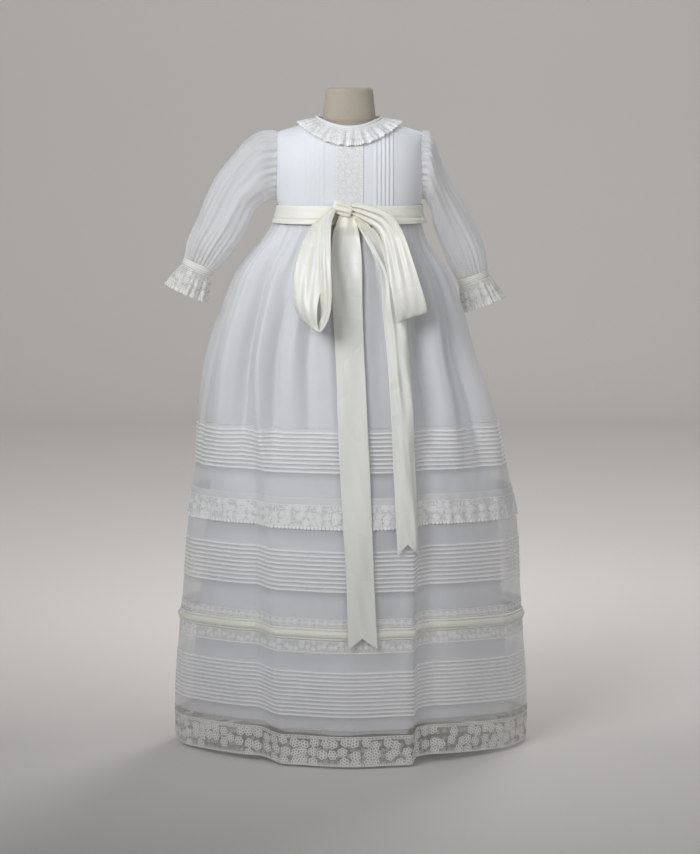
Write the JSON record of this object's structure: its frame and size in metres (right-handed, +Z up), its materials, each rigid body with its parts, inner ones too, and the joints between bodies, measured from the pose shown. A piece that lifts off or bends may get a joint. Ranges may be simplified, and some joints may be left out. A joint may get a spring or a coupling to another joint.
{
  "type": "christening gown on limbless dress form",
  "caption": "Long sheer christening gown with pintucked bodice and skirt, lace insertions and a ribbon bow, displayed on a limbless dress form with pole and round base.",
  "frame": {"origin": "centre of the stand base's underside, on the surface it stands on", "axes": "+Z up the pole, -Y the gown's front, +X the viewer's right"},
  "size_m": [0.4562, 0.2982, 0.823],
  "materials": {
    "bodice_cotton": "fine white batiste, matt",
    "sheer_organza": "sheer crisp organza with a faint sheen",
    "lining_cotton": "opaque matt cotton",
    "ivory_lace": "fine net lace with flowers",
    "cream_satin": "glossy satin ribbon",
    "form_linen": "plain beige linen",
    "stand_metal": "satin grey",
    "button_pearl": "pearly"
  },
  "bodies": {
    "root": {"form_body": "form_linen", "stand_pole": "stand_metal", "stand_base": "stand_metal", "underskirt": "lining_cotton", "skirt_top": "sheer_organza", "skirt_upper_tier": "sheer_organza", "lace_frill": "ivory_lace", "lace_insertion_upper": "ivory_lace", "satin_cord": "cream_satin", "lace_insertion_lower": "ivory_lace", "skirt_lower_tier": "sheer_organza", "hem_lace": "ivory_lace", "bodice_front": "bodice_cotton", "bodice_back_left": "bodice_cotton", "bodice_back_right": "bodice_cotton", "back_button_1": "button_pearl", "back_button_2": "button_pearl", "back_button_3": "button_pearl", "bodice_lace_panel": "ivory_lace", "neck_binding": "bodice_cotton", "collar_lace": "ivory_lace", "sleeve_left": "sheer_organza", "cuff_band_left": "ivory_lace", "cuff_frill_left": "ivory_lace", "sleeve_right": "sheer_organza", "cuff_band_right": "ivory_lace", "cuff_frill_right": "ivory_lace", "sash_band": "cream_satin", "bow_knot": "cream_satin", "bow_loop_left": "cream_satin", "bow_loop_right": "cream_satin", "bow_tail_centre": "cream_satin", "bow_tail_right": "cream_satin"}
  },
  "joints": []
}
